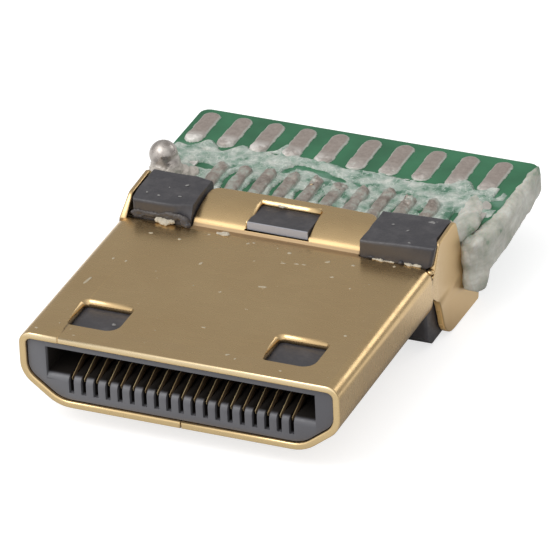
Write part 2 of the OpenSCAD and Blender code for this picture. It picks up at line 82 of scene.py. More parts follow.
class Shader:
    """A Principled material and short ways to add procedural detail to it."""

    def __init__(self, name, colour, roughness, metallic=0.0):
        self.material = bpy.data.materials.new(name)
        self.material.use_nodes = True
        self.tree = self.material.node_tree
        self.bsdf = self.tree.nodes["Principled BSDF"]
        self.set("Base Color", (*colour, 1.0))
        self.set("Roughness", roughness)
        self.set("Metallic", metallic)
        self.place = self.tree.nodes.new("ShaderNodeTexCoord").outputs["Object"]

    def set(self, socket, value):
        self.bsdf.inputs[socket].default_value = value

    def link(self, output, socket):
        self.tree.links.new(output, socket)

    def to_bsdf(self, output, socket):
        self.link(output, self.bsdf.inputs[socket])

    def noise(self, size, detail=3.0, roughness=0.5, stretch=(1.0, 1.0, 1.0), shift=0.0):
        """Noise from 0 to 1 with features of about that size in millimetres."""
        mapping = self.tree.nodes.new("ShaderNodeMapping")
        mapping.inputs["Scale"].default_value = [1.0 / (size * MM * s) for s in stretch]
        mapping.inputs["Location"].default_value = (shift, shift, shift)
        self.link(self.place, mapping.inputs["Vector"])
        texture = self.tree.nodes.new("ShaderNodeTexNoise")
        texture.inputs["Scale"].default_value = 1.0
        texture.inputs["Detail"].default_value = detail
        texture.inputs["Roughness"].default_value = roughness
        self.link(mapping.outputs["Vector"], texture.inputs["Vector"])
        return texture.outputs["Fac"]

    def along(self, axis, start, end):
        """From 0 at one place on an axis to 1 at another, in millimetres."""
        split = self.tree.nodes.new("ShaderNodeSeparateXYZ")
        self.link(self.place, split.inputs[0])
        node = self.tree.nodes.new("ShaderNodeMapRange")
        node.inputs["From Min"].default_value = start * MM
        node.inputs["From Max"].default_value = end * MM
        self.link(split.outputs["XYZ".index(axis)], node.inputs["Value"])
        return node.outputs["Result"]

    def maths(self, operation, first, second):
        """One operation on two sockets or numbers, with its result kept from 0 to 1."""
        node = self.tree.nodes.new("ShaderNodeMath")
        node.operation = operation
        node.use_clamp = True
        for socket, value in zip(node.inputs, (first, second)):
            if isinstance(value, float):
                socket.default_value = value
            else:
                self.link(value, socket)
        return node.outputs[0]

    def product(self, first, *others):
        """All the values multiplied, each of them a socket or a number."""
        for other in others:
            first = self.maths("MULTIPLY", first, other)
        return first

    def ramp(self, value, *stops):
        """Colours, or greys given as one number, at places along a value from 0 to 1."""
        node = self.tree.nodes.new("ShaderNodeValToRGB")
        fill_ramp(node, stops)
        self.link(value, node.inputs["Fac"])
        return node.outputs["Color"]

    def band(self, axis, *edges, level=1.0):
        """A level between the middle two of four places on an axis, and 0 past the outer two."""
        start, end = edges[0], edges[-1]
        places = [(edge - start) / (end - start) for edge in edges]
        return self.ramp(self.along(axis, start, end), *zip(places, (0.0, level, level, 0.0)))

    def mix(self, share, first, second):
        """Colour first where share is 0, and second where it is 1. One number is a grey."""
        node = self.tree.nodes.new("ShaderNodeMix")
        node.data_type = "RGBA"
        colours = [s for s in node.inputs if s.type == "RGBA"]
        for socket, value in zip(colours, (first, second)):
            if isinstance(value, float):
                value = (value,) * 3
            if isinstance(value, tuple):
                socket.default_value = (*value, 1.0)
            else:
                self.link(value, socket)
        self.link(share, node.inputs["Factor"])
        return [s for s in node.outputs if s.type == "RGBA"][0]

    def bump(self, height, depth, strength):
        """Bump of that depth in millimetres."""
        node = self.tree.nodes.new("ShaderNodeBump")
        node.inputs["Distance"].default_value = depth * MM
        node.inputs["Strength"].default_value = strength
        self.link(height, node.inputs["Height"])
        self.to_bsdf(node.outputs["Normal"], "Normal")


def gold():
    """Satin plating, dull by flux, with a painted reflection and highlight on the cut rim, painted
    shade in the strap's foot crease and painted light on a lobe's front edge.
    """
    shader = Shader("satin_gold", (0.65, 0.46, 0.24), 0.27, 1.0)
    clouds = shader.noise(2.4, detail=3.0)
    colour = shader.ramp(clouds, (0.35, (0.63, 0.445, 0.23)), (0.7, (0.66, 0.475, 0.25)))
    on_strap = shader.band("X", -2.95, -2.85, 2.85, 2.95)
    # Painted shade: the strap's foot crease is painted darker and made duller.
    foot_crease_shade = shader.product(on_strap, shader.band("Y", 7.375, 7.45, 7.68, 7.705))
    colour = shader.mix(foot_crease_shade, colour, (0.44, 0.32, 0.19))
    # Painted reflection on the cut rim, with a painted highlight that makes it lightest at its top
    # edge.
    rim_painted_light = shader.mix(
        shader.along("Z", 2.25, 2.375), (0.80, 0.60, 0.32), (0.98, 0.80, 0.52),
    )
    colour = shader.mix(shader.along("Y", 0.05, 0.0), colour, rim_painted_light)
    # Painted light: the right lobe's lower front edge is painted bright orange and made less
    # metallic, standing in for a reflection of the floor.
    lobe_edge_painted_light = shader.product(
        shader.along("X", 5.216, 5.186), shader.band("Y", 7.572, 7.616, 8.595, 8.65),
        shader.along("Z", 1.4, 1.1),
    )
    shader.to_bsdf(shader.mix(lobe_edge_painted_light, colour, (0.95, 0.60, 0.24)), "Base Color")
    shader.to_bsdf(shader.ramp(lobe_edge_painted_light, (0.0, 1.0), (1.0, 0.15)), "Metallic")
    smears = shader.noise(0.6, detail=3.0, stretch=(1.0, 0.4, 1.0))
    rough = shader.ramp(smears, (0.3, 0.23), (0.7, 0.31))
    by_flux = shader.product(shader.along("X", 5.15, 5.2), shader.along("Y", 7.8, 8.8))
    rough = shader.mix(by_flux, rough, 0.42)
    fold = shader.product(on_strap, shader.band("Y", 7.45, 7.54, 7.798, 7.84))
    rough = shader.mix(fold, rough, 0.5)
    shader.to_bsdf(shader.mix(foot_crease_shade, rough, 0.6), "Roughness")
    return shader


def contact_gold():
    """A painted highlight along the left of each contact, painted dark beside it, and brighter on
    every second one.
    """
    shader = Shader("contact_gold", (0.9, 0.62, 0.28), 0.42, 0.3)

    def wave(period, profile):
        node = shader.tree.nodes.new("ShaderNodeTexWave")
        node.wave_profile = profile
        node.inputs["Scale"].default_value = math.pi / 10 / (period * MM)
        shader.link(shader.place, node.inputs["Vector"])
        return node.outputs["Fac"]

    # Painted highlight: a bright line on each contact, with painted shade elsewhere on it.
    line = shader.ramp(wave(0.4, "SAW"), (0.56, 0.0), (0.66, 1.0), (0.88, 1.0), (0.95, 0.0))
    pair = shader.ramp(wave(0.8, "SIN"), (0.3, (1.0, 0.78, 0.42)), (0.7, (0.75, 0.54, 0.27)))
    shader.to_bsdf(shader.mix(line, (0.05, 0.03, 0.015), pair), "Base Color")
    return shader


def plastic():
    """Black plastic: dusty, with painted light on the comb's front, the blocks' fronts and the
    tongue's front, and painted shade in the mouth.
    """
    shader = Shader("black_plastic", (0.06, 0.057, 0.062), 0.42)
    grain = shader.noise(0.1, detail=3.0)
    dust = shader.noise(0.5, detail=6.0, roughness=0.65, shift=3.0)
    colour = shader.ramp(dust, (0.45, (0.042, 0.040, 0.045)), (0.75, (0.075, 0.070, 0.074)))
    # Painted light: the comb's front is painted pale, lighter to the left.
    comb_painted_light = shader.mix(
        shader.along("X", -5.0, 5.0), (0.145, 0.145, 0.155), (0.096, 0.095, 0.105),
    )
    colour = shader.mix(shader.along("Y", 0.3, 0.22), colour, comb_painted_light)
    # Painted light on the blocks' front faces.
    block_fronts_painted_light = shader.product(
        shader.band("Y", 7.4, 7.44, 7.54, 7.64), shader.band("Z", 2.5, 2.7, 2.92, 3.06),
    )
    colour = shader.mix(block_fronts_painted_light, colour, (0.066, 0.057, 0.053))
    # Painted light on the tongue's front face.
    tongue_front_painted_light = shader.product(
        shader.band("Y", 7.72, 7.75, 7.81, 7.84), shader.band("X", -1.15, -1.05, 1.05, 1.15),
    )
    colour = shader.mix(tongue_front_painted_light, colour, (0.35, 0.35, 0.38))
    # Painted shade: the inside of the mouth is painted near black and made less shiny.
    inside = shader.product(shader.band("Y", 0.24, 0.34, 7.0, 7.2), shader.along("Z", 2.0, 1.92))
    shader.to_bsdf(shader.mix(inside, colour, (0.020, 0.017, 0.015)), "Base Color")
    shader.to_bsdf(shader.ramp(inside, (0.0, 0.5), (1.0, 0.1)), "Specular IOR Level")
    shader.to_bsdf(shader.ramp(grain, (0.3, 0.36), (0.7, 0.5)), "Roughness")
    shader.bump(grain, 0.008, 0.6)
    return shader


def laminate():
    """Green mask, with a pale haze of residue between the two rows of pads."""
    shader = Shader("green_laminate", (0.02, 0.26, 0.09), 0.38)
    blotches = shader.noise(0.7, detail=6.0, roughness=0.6)
    behind = shader.band("Y", 11.68, 12.28, 12.76, 13.24, level=0.55)
    haze = shader.product(shader.ramp(blotches, (0.42, 0.0), (0.58, 1.0)), behind)
    clouds = shader.noise(1.6, detail=4.0, shift=1.0)
    green = shader.ramp(clouds, (0.3, (0.014, 0.10, 0.042)), (0.7, (0.03, 0.165, 0.075)))
    shader.to_bsdf(shader.mix(haze, green, (0.16, 0.29, 0.22)), "Base Color")
    shader.bump(blotches, 0.02, 0.5)
    return shader


def tin():
    """Dull pads with pale edges, whiter with flux at their front ends."""
    shader = Shader("dull_tin", (0.44, 0.37, 0.34), 0.5, 0.25)
    speckle = shader.noise(0.16, detail=6.0, roughness=0.7)
    patches = shader.ramp(shader.noise(0.5, detail=6.0, shift=2.0), (0.38, 0.25), (0.52, 1.0))
    left = shader.ramp(shader.along("X", -1.4, 0.4), (0.0, 1.0), (1.0, 0.35))
    white = shader.product(patches, shader.along("Y", 13.94, 13.29), left)
    colour = shader.ramp(speckle, (0.3, (0.25, 0.21, 0.185)), (0.7, (0.36, 0.305, 0.27)))
    colour = shader.mix(shader.along("Z", 2.056, 2.04), colour, (0.46, 0.47, 0.42))
    shader.to_bsdf(shader.mix(white, colour, (0.70, 0.67, 0.63)), "Base Color")
    shader.bump(speckle, 0.02, 0.6)
    return shader


def solder():
    """Bright solder, with a dull pale band of flux round the middle of the left post."""
    shader = Shader("solder", (0.5, 0.47, 0.43), 0.28, 0.75)
    film = shader.noise(0.3, detail=5.0, roughness=0.6)
    pale = shader.band("Z", 1.9, 2.0, 2.5, 2.66)
    metal = shader.ramp(film, (0.4, (0.40, 0.36, 0.33)), (0.65, (0.58, 0.54, 0.50)))
    rough = shader.ramp(film, (0.4, 0.22), (0.65, 0.5))
    shader.to_bsdf(shader.mix(pale, metal, (0.50, 0.46, 0.41)), "Base Color")
    shader.to_bsdf(shader.ramp(pale, (0.0, 0.8), (1.0, 0.15)), "Metallic")
    shader.to_bsdf(shader.mix(pale, rough, 0.6), "Roughness")
    shader.bump(film, 0.02, 0.6)
    return shader


def finger_solder():
    """The dull greyish-pink solder on the tails, blotched with pale green residue."""
    shader = Shader("tail_solder", (0.4, 0.36, 0.33), 0.45, 0.3)
    blotches = shader.noise(0.45, detail=6.0, roughness=0.65)
    colour = shader.ramp(
        blotches,
        (0.36, (0.20, 0.165, 0.14)), (0.5, (0.31, 0.27, 0.235)), (0.62, (0.38, 0.41, 0.36)),
    )
    foot = shader.ramp(shader.along("Z", 2.075, 2.15), (0.0, 0.9), (1.0, 0.0))
    shader.to_bsdf(shader.mix(foot, colour, (0.40, 0.45, 0.40)), "Base Color")
    shader.bump(shader.noise(0.12, detail=4.0), 0.025, 0.7)
    return shader


def flux():
    """Dried white flux with a green tinge and pale veins, as dull as salt."""
    shader = Shader("dried_flux", (0.42, 0.5, 0.43), 0.55)
    shader.set("Subsurface Weight", 0.15)
    shader.set("Subsurface Scale", 0.1 * MM)
    shader.set("Subsurface Radius", (1.0, 1.0, 0.8))
    glaze = shader.ramp(
        shader.noise(0.5, detail=7.0, roughness=0.62),
        (0.36, (0.07, 0.17, 0.11)), (0.44, (0.23, 0.32, 0.26)),
        (0.53, (0.35, 0.41, 0.36)), (0.66, (0.54, 0.56, 0.51)),
    )
    veins = shader.ramp(
        shader.noise(0.35, detail=2.0, shift=6.0), (0.47, 0.0), (0.495, 1.0), (0.52, 0.0),
    )
    shader.to_bsdf(shader.mix(shader.product(veins, 0.6), glaze, (0.62, 0.65, 0.6)), "Base Color")
    shader.bump(shader.noise(0.2, detail=6.0, roughness=0.65), 0.04, 0.8)
    return shader


def side_flux():
    """Grey-white flux on the board's right edge and on the joints there."""
    shader = Shader("edge_flux", (0.44, 0.45, 0.42), 0.5)
    shader.set("Subsurface Weight", 0.1)
    shader.set("Subsurface Scale", 0.1 * MM)
    colour = shader.ramp(
        shader.noise(0.7, detail=7.0, roughness=0.62, stretch=(1.0, 1.6, 0.8)),
        (0.28, (0.14, 0.22, 0.14)), (0.37, (0.36, 0.37, 0.31)),
        (0.52, (0.51, 0.50, 0.44)), (0.68, (0.66, 0.66, 0.60)),
    )
    shader.to_bsdf(colour, "Base Color")
    shader.bump(shader.noise(0.2, detail=6.0, roughness=0.6), 0.04, 0.7)
    return shader


def white_flux():
    shader = Shader("white_flux", (0.47, 0.42, 0.33), 0.5)
    shader.bump(shader.noise(0.1, detail=4.0), 0.02, 0.6)
    return shader


def dust():
    return Shader("dust", (0.40, 0.34, 0.24), 0.6)


def grey_dust():
    return Shader("grey_dust", (0.21, 0.205, 0.2), 0.7)


GOLD = gold()
CONTACT = contact_gold()
PLASTIC = plastic()
LAMINATE = laminate()
TIN = tin()
SOLDER = solder()
FINGER = finger_solder()
FLUX = flux()
SIDE_FLUX = side_flux()
WHITE = white_flux()
DUST = dust()
GREY = grey_dust()


def wear(node_names, shader):
    """Puts a material on CAD nodes that keep their shape."""
    for name in node_names:
        piece = NODES[name]
        piece.data.materials.clear()
        piece.data.materials.append(shader.material)


# Making pieces

def piece_from(bm, name, shader, replaces=()):
    """A new piece from a bmesh in millimetres, which it frees."""
    bmesh.ops.scale(bm, vec=(MM, MM, MM), verts=bm.verts)
    mesh = bpy.data.meshes.new(name)
    bm.to_mesh(mesh)
    bm.free()
    mesh.shade_smooth()
    mesh.materials.append(shader.material)
    piece = bpy.data.objects.new(name, mesh)
    bpy.context.scene.collection.objects.link(piece)
    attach(piece, "root")
    if replaces:
        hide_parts(*replaces)
    return piece


def cad_copy(node_name):
    """A CAD node as a bmesh, in millimetres and with its split corners joined."""
    bm = bmesh.new()
    bm.from_mesh(NODES[node_name].data)
    bmesh.ops.scale(bm, vec=(1 / MM, 1 / MM, 1 / MM), verts=bm.verts)
    bmesh.ops.remove_doubles(bm, verts=bm.verts, dist=0.0005)
    return bm


def plain_copy(node_name):
    """A CAD node without the edges inside its flat faces."""
    bm = cad_copy(node_name)
    bmesh.ops.dissolve_limit(bm, angle_limit=math.radians(0.6), verts=bm.verts, edges=bm.edges)
    return bm


def add_bmesh(bm, other):
    """Adds a second bmesh to the first, and frees it."""
    mesh = bpy.data.meshes.new("added")
    other.to_mesh(mesh)
    other.free()
    bm.from_mesh(mesh)
    bpy.data.meshes.remove(mesh)


def islands(node_name):
    """The lowest and highest corner of each solid in a CAD node, from left to right."""
    bm = cad_copy(node_name)
    seen = set()
    boxes = []
    for first in bm.verts:
        if first in seen:
            continue
        seen.add(first)
        stack, corners = [first], []
        while stack:
            vert = stack.pop()
            corners.append(vert.co.copy())
            for edge in vert.link_edges:
                other = edge.other_vert(vert)
                if other not in seen:
                    seen.add(other)
                    stack.append(other)
        boxes.append((
            Vector([min(c[i] for c in corners) for i in range(3)]),
            Vector([max(c[i] for c in corners) for i in range(3)]),
        ))
    bm.free()
    return sorted(boxes, key=lambda pair: pair[0].x)


def soften(bm, width, test, angle=SHARP, segments=3, clamp=True, profile=0.5):
    """Rounds by a width the edges sharper than an angle, where their middle passes a test."""
    edges = [
        e for e in bm.edges
        if len(e.link_faces) == 2 and e.calc_face_angle(0.0) > math.radians(angle)
        and test((e.verts[0].co + e.verts[1].co) / 2)
    ]
    bmesh.ops.bevel(
        bm, geom=edges, offset=width, offset_type="OFFSET", segments=segments,
        profile=profile, affect="EDGES", clamp_overlap=clamp,
    )


def slice_mesh(bm, axis, places):
    """Cuts the mesh at places along an axis, so that it can bend there."""
    normal = Vector([1.0 if i == "XYZ".index(axis) else 0.0 for i in range(3)])
    for place in places:
        geom = list(bm.verts) + list(bm.edges) + list(bm.faces)
        bmesh.ops.bisect_plane(bm, geom=geom, plane_co=normal * place, plane_no=normal)


def shift(bm, move):
    """Moves each point by a function of where it is."""
    for v in bm.verts:
        v.co += Vector(move(v.co))


def weighted(piece):
    """Normals that keep large faces flat beside their rounded edges."""
    modifier = piece.modifiers.new("normals", "WEIGHTED_NORMAL")
    modifier.keep_sharp = True
    modifier.weight = 80


def voxel_bmesh(bm, size, smooth):
    """A bmesh as one closed skin of voxels, smoothed some times. The given bmesh is freed."""
    mesh = bpy.data.meshes.new("voxels")
    bm.to_mesh(mesh)
    bm.free()
    helper = bpy.data.objects.new("voxels", mesh)
    bpy.context.scene.collection.objects.link(helper)
    modifier = helper.modifiers.new("remesh", "REMESH")
    modifier.mode = "VOXEL"
    modifier.voxel_size = size
    graph = bpy.context.evaluated_depsgraph_get()
    skin = bpy.data.meshes.new_from_object(helper.evaluated_get(graph))
    result = bmesh.new()
    result.from_mesh(skin)
    bpy.data.objects.remove(helper)
    bpy.data.meshes.remove(mesh)
    bpy.data.meshes.remove(skin)
    for _ in range(smooth):
        bmesh.ops.smooth_vert(
            result, verts=result.verts, factor=0.5,
            use_axis_x=True, use_axis_y=True, use_axis_z=True,
        )
    return result


def add_balls(bm, rows):
    """Ellipsoids in a bmesh, each given as its middle and its three radii."""
    for x, y, z, *radii in rows:
        place = Matrix.Translation((x, y, z)) @ Matrix.Diagonal((*radii, 1.0))
        bmesh.ops.create_icosphere(bm, subdivisions=3, radius=1.0, matrix=place)


def ribbon(bm, path, wide, thick, degrees, sides=16):
    """A closed oval bead along a path.

    Each point of the path comes with the level direction that the broad face leans to there.
    """
    cos, sin = math.cos(math.radians(degrees)), math.sin(math.radians(degrees))
    angles = [2 * math.pi * k / sides for k in range(sides)]
    rings = []
    for point, (lean_x, lean_y) in path:
        lean = Vector((lean_x, lean_y, 0.0)).normalized()
        down = cos * lean - Vector((0.0, 0.0, sin))
        out = sin * lean + Vector((0.0, 0.0, cos))
        rings.append([
            bm.verts.new(Vector(point) + wide * math.cos(a) * down + thick * math.sin(a) * out)
            for a in angles
        ])
    made = [bm.faces.new(rings[0]), bm.faces.new(rings[-1])]
    for first, second in zip(rings, rings[1:]):
        for k in range(sides):
            after = (k + 1) % sides
            made.append(bm.faces.new((first[k], first[after], second[after], second[k])))
    bmesh.ops.recalc_face_normals(bm, faces=made)


def roughen(bm, depth, size, seed, test=None):
    """Moves points along their normals by smooth noise, times the share that a test gives."""
    bm.normal_update()
    moves = []
    for v in bm.verts:
        share = 1.0 if test is None else test(v.co)
        where = v.co / size + Vector((seed, seed, seed))
        moves.append(v.normal * depth * share * noise.fractal(where, 0.6, 2.0, 4))
    for v, move in zip(bm.verts, moves):
        v.co += move


def ramp_between(value, start, end):
    """From 0 at start to 1 at end, with smooth ends."""
    t = min(max((value - start) / (end - start), 0.0), 1.0)
    return t * t * (3.0 - 2.0 * t)


def fall_between(value, start, end):
    """From 1 at start to 0 at end, with smooth ends."""
    return 1.0 - ramp_between(value, start, end)


def along_line(points, x):
    """The second value of a line of points at x, with smooth steps."""
    for (x0, y0), (x1, y1) in zip(points, points[1:]):
        if x <= x1:
            return y0 + (y1 - y0) * ramp_between(x, x0, x1)
    return points[-1][1]


# How far the skirt of a height sheet goes into what it lies on
SKIRT = 0.02


def height_sheet(x_range, y_range, step, base, height):
    """The ground where a height function is above 0, over a base height and with a short skirt."""
    bm = bmesh.new()
    nx = round((x_range[1] - x_range[0]) / step)
    ny = round((y_range[1] - y_range[0]) / step)
    xs = [x_range[0] + i * (x_range[1] - x_range[0]) / nx for i in range(nx + 1)]
    ys = [y_range[0] + j * (y_range[1] - y_range[0]) / ny for j in range(ny + 1)]
    heights = [[height(x, y) for y in ys] for x in xs]
    tops = {}

    def corner(i, j):
        if (i, j) not in tops:
            lift = max(heights[i][j], 0.0)
            tops[i, j] = bm.verts.new((xs[i], ys[j], base + lift))
        return tops[i, j]

    for i in range(nx):
        for j in range(ny):
            ring = ((i, j), (i + 1, j), (i + 1, j + 1), (i, j + 1))
            if max(heights[a][b] for a, b in ring) > 0.0:
                bm.faces.new([corner(a, b) for a, b in ring])
    rim = [e for e in bm.edges if e.is_boundary]
    for item in bmesh.ops.extrude_edge_only(bm, edges=rim)["geom"]:
        if isinstance(item, bmesh.types.BMVert):
            item.co.z = base - SKIRT
    bmesh.ops.recalc_face_normals(bm, faces=bm.faces)
    return bm


# The shell

# How far the strap's foot moves along Y and Z from place to place along Y, to flatten its fold
FOOT_BACK = ((7.64, 0.0), (7.69, 0.01), (7.8, 0.005), (7.9, 0.0))
FOOT_UP = (
    (7.64, 0.0), (7.68, -0.01), (7.73, -0.013), (7.76, -0.011), (7.8, -0.004), (7.85, 0.0),
)


def window_lip():
    """The bead's path up the left edge of the strap's window and along its rear."""
    path = []
    for y in (7.86, 7.95, 8.1, 8.3, 8.5, 8.7, 8.82, 8.89, 8.92):
        place = (-1.02 + 0.03 * ramp_between(y, 8.8, 8.92), y, 2.883 - 0.21 * (8.95 - y) ** 2)
        path.append((place, (1.0, -0.9 * ramp_between(y, 8.75, 8.92))))
    path += [((x, 8.935, 2.883), (0.0, -1.0)) for x in (-0.95, -0.8, -0.5, 0.0, 0.5, 1.0)]
    return path


def sheet_bend(p):
    """How the sheet is bent at a point: its wings, its strap's foot and a nick in its rim."""
    x = y = z = 0.0
    behind = p.y > SHELL_END + 0.005
    if abs(p.x) > WING_X and behind and p.z < 1.34:
        # The lobes' front edges lean back, most just below the wing
        front = fall_between(p.y, 8.4, 9.2) * fall_between(p.z, 0.97, 1.3)
        y = 0.33 * front * (0.25 + 0.75 * ramp_between(p.z, -0.6, 1.0))
    if p.x > WING_X and behind and p.z > 2.0:
        # The right wing leans out and its front edge back, with a notch beside the shell
        inner = fall_between(p.x, 5.02, 5.18)
        low_front = fall_between(p.y, 7.6, 8.2) * fall_between(p.z, 2.4, 2.9)
        x = 0.05 * ramp_between(p.z, 2.3, 2.95) + 0.08 * inner * ramp_between(p.z, 2.6, 3.0)
        y = 0.14 * fall_between(p.y, 7.6, 8.6) * ramp_between(p.z, 2.0, 2.3)
        z = -0.2 * low_front * ramp_between(p.z, 2.05, 2.35)
    if p.x < -WING_X and behind and p.z > 1.9:
        # The left wing leans in, and its front edge bulges forward
        inner = ramp_between(p.x, -5.18, -5.02)
        x = 0.17 * ramp_between(p.z, 2.0, 2.8) - 0.08 * inner * ramp_between(p.z, 2.6, 3.0)
        low_front = fall_between(p.y, 7.6, 8.1) * ramp_between(p.z, 2.1, 2.4)
        y = -0.18 * low_front * fall_between(p.z, 2.6, 3.0)
    if abs(p.x) < 2.9 and 7.64 < p.y < 7.9 and p.z > 2.43:
        y, z = along_line(FOOT_BACK, p.y), along_line(FOOT_UP, p.y)
    if abs(p.x + 3.94) < 0.015 and p.y < 0.07 and p.z > 1.9:
        y, z = 0.06, -0.03
    return (x, y, z)


def plated_shell():
    """The folded sheet with rounded edges, small bends and two beads on its cut edges."""
    bm = plain_copy("shell")

    def rim(middle):
        return middle.y < 0.01

    def latch_lip(middle):
        """The rear and left edges of the latch holes, with the corner between them."""
        away = abs(middle.x) - LATCH_X
        side = away if middle.x > 0 else -away
        if abs(middle.z - SHELL_TOP) > 0.01 or not 0.7 < middle.y < 2.5 or abs(away) > 0.9:
            return False
        rear = middle.y > LATCH_REAR - 0.04 and side < 0.7
        return rear or side < -0.74 and middle.y > 1.0

    def folded(middle):
        return middle.y > SHELL_END + 0.02

    soften(bm, 0.06, rim, segments=4, clamp=False)
    soften(bm, 0.15, latch_lip, angle=25, segments=5, clamp=False, profile=0.42)
    soften(bm, 0.05, folded, clamp=False)
    bmesh.ops.remove_doubles(bm, verts=bm.verts, dist=0.002)
    slice_mesh(bm, "Y", (7.3, 7.4))
    slice_mesh(bm, "Z", (0.3, 0.7, 0.95, 1.15))
    slice_mesh(bm, "X", (-3.97, -3.95, -3.93, -3.91))
    shift(bm, sheet_bend)
    ribbon(bm, window_lip(), 0.09, 0.03, 42)
    add_balls(bm, [(5.12, 7.6, 2.24, 0.13, 0.13, 0.09)])
    weighted(piece_from(bm, "plated_shell", GOLD, ["shell"]))


def moulding_bend(p):
    """How the housing differs from the CAD at a point: the mouth's roof and the upper blocks."""
    if p.y < 4.8 and abs(p.x) < 4.45 and 1.84 < p.z < 1.93:
        return (0.0, 0.0, 0.1)
    if p.y < SHELL_END - 0.06 or p.z < 2.3 or abs(p.x) <= BLOCK_X:
        return (0.0, 0.0, 0.0)
    high = ramp_between(p.z, 2.5, 3.0)
    front = fall_between(p.y, 7.5, 9.0)
    if p.x > 0.0:
        sunk = 0.02 + 0.06 * fall_between(p.x, 2.9, 4.0)
        outer = ramp_between(p.x, 3.4, 4.97)
        wide = (0.12 + fall_between(p.y, 7.7, 8.2) * (0.08 + 0.1 * high)) * outer
        wide *= ramp_between(p.z, 2.3, 2.45)
        return (wide, high * front * 0.1 * outer, -high * sunk)
    inner = ramp_between(p.x, -3.5, -2.9)
    narrow = 0.08 * fall_between(p.y, 7.5, 8.4) * ramp_between(-p.x, 3.4, 4.8)
    drop = 0.07 * front + 0.05 * ramp_between(p.y, 8.3, 9.2)
    return (narrow + 0.03 * inner * front, high * front * 0.3 * inner, -drop * high * inner)


def moulding():
    """The black housing with softened edges and uneven blocks."""
    bm = plain_copy("housing")

    def block_top(middle):
        return middle.y > SHELL_END - 0.06 and middle.z > 2.9

    def lower_corner(middle):
        return middle.y > SHELL_END + 0.05 and middle.x > 4.9 and middle.z < -0.25

    def outside(middle):
        return middle.y > 7.45 or middle.y < 0.35

    def on_block_top(p):
        return 1.0 if p.y > SHELL_END and p.z > 2.6 and abs(p.x) > BLOCK_X else 0.0

    soften(bm, 0.1, block_top, segments=4)
    soften(bm, 0.14, lower_corner, segments=5)
    soften(bm, 0.04, outside)
    slice_mesh(bm, "X", (-4.4, -3.9, -3.4, -3.1, 3.1, 3.4, 3.9, 4.4))
    slice_mesh(bm, "Y", (7.8, 8.2, 8.6, 9.0))
    slice_mesh(bm, "Z", (2.3, 2.45))
    shift(bm, moulding_bend)
    roughen(bm, 0.03, 0.6, 14.0, test=on_block_top)
    weighted(piece_from(bm, "moulding", PLASTIC, ["housing"]))


# Balls: middle x, y, z and three radii
FLASH_BALLS = (
    (-4.5, 7.52, 2.58, 0.34, 0.07, 0.15), (-4.1, 7.52, 2.6, 0.4, 0.06, 0.12),
    (-3.4, 7.52, 2.66, 0.5, 0.07, 0.14), (-2.98, 7.48, 2.56, 0.16, 0.1, 0.2),
    (-2.88, 7.46, 2.48, 0.1, 0.09, 0.11), (4.2, 7.49, 2.46, 0.08, 0.04, 0.05),
    (3.2, 7.51, 2.47, 0.2, 0.02, 0.03),
)


def flash():
    """Ragged black flash that hangs from the blocks' front edges."""
    bm = bmesh.new()
    add_balls(bm, FLASH_BALLS)
    bm = voxel_bmesh(bm, 0.02, smooth=4)
    roughen(bm, 0.035, 0.3, 5.0)
    piece_from(bm, "moulding_flash", PLASTIC)


# The board

def bar_dome(x, y, middle, radius, ends, wobble, power):
    """The share of a bar's height at a point: 1 along its middle line, and None outside it."""
    inside = min(max(y, ends[0]), ends[1])
    away = max(math.hypot(x - middle, y - inside) + wobble, 0.0)
    if away > radius:
        return None
    return math.sqrt(max(1.0 - (away / radius) ** power, 0.0))


# How much thicker each wire pad is at its front end, from left to right
PAD_FRONTS = (0.08, 0.1, 0.09, 0.09, 0.05, 0.03, 0.02, 0.03, 0.02, 0.02)


def wire_pads():
    """Ten domed pads of dull tin, the left ones with a thick front end."""
    bm = bmesh.new()
    for k, (low, high) in enumerate(islands("top_wire_pads")):
        middle, radius = (low.x + high.x) / 2, (high.x - low.x) / 2
        ends = (low.y + radius, high.y - radius)

        def height(x, y):
            spot = Vector((x * 4, y * 4, 3.7 * k))
            dome = bar_dome(x, y, middle, radius, ends, 0.03 * noise.noise(spot), 5)
            if dome is None:
                return -1.0
            front = fall_between(y, low.y + 0.1, low.y + 0.8)
            lumps = 0.05 * noise.fractal(spot, 0.6, 2.0, 3) * (0.05 + front)
            return 0.03 + dome * (0.03 + PAD_FRONTS[k] * front + lumps)

        x_range, y_range = (low.x - 0.03, high.x + 0.03), (low.y - 0.03, high.y + 0.03)
        add_bmesh(bm, height_sheet(x_range, y_range, 0.025, BOARD_TOP, height))
    piece_from(bm, "tinned_wire_pads", TIN, ["top_wire_pads"])


# Where each finger of solder on the tails ends, and how lumpy its end is
FINGER_ENDS = (
    (12.02, 0.05), (12.04, 0.02), (12.12, 0.05), (12.16, 0.12), (12.12, 0.12),
    (12.05, 0.12), (12.02, 0.05), (12.15, 0.05), (11.93, 0.14), (11.9, 0.14),
)


def fingers():
    """The solder on the tails: ten flat uneven fingers."""
    bm = bmesh.new()
    radius = 0.225
    for k, (low, high) in enumerate(islands("top_tail_solder")):
        middle, seed = (low.x + high.x) / 2, 9.1 + 2.3 * k
        end, lumpy = FINGER_ENDS[k]

        def height(x, y):
            wobble = 0.05 * noise.noise(Vector((x * 2.5, y * 2.5, seed)))
            dome = bar_dome(x, y, middle, radius, (low.y, end - radius), wobble, 3.6)
            if dome is None:
                return -1.0
            rear = ramp_between(y, end - 0.9, end - 0.1)
            lumps = noise.fractal(Vector((x * 3.5, y * 3.5, seed)), 0.6, 2.0, 3)
            return 0.04 + dome * (0.175 + 0.03 * rear + (0.03 + lumpy * rear) * lumps)

        x_range, y_range = (low.x - 0.08, high.x + 0.08), (low.y, end + 0.08)
        add_bmesh(bm, height_sheet(x_range, y_range, 0.028, BOARD_TOP, height))
    piece_from(bm, "tail_fingers", FINGER, ["top_tail_solder"])


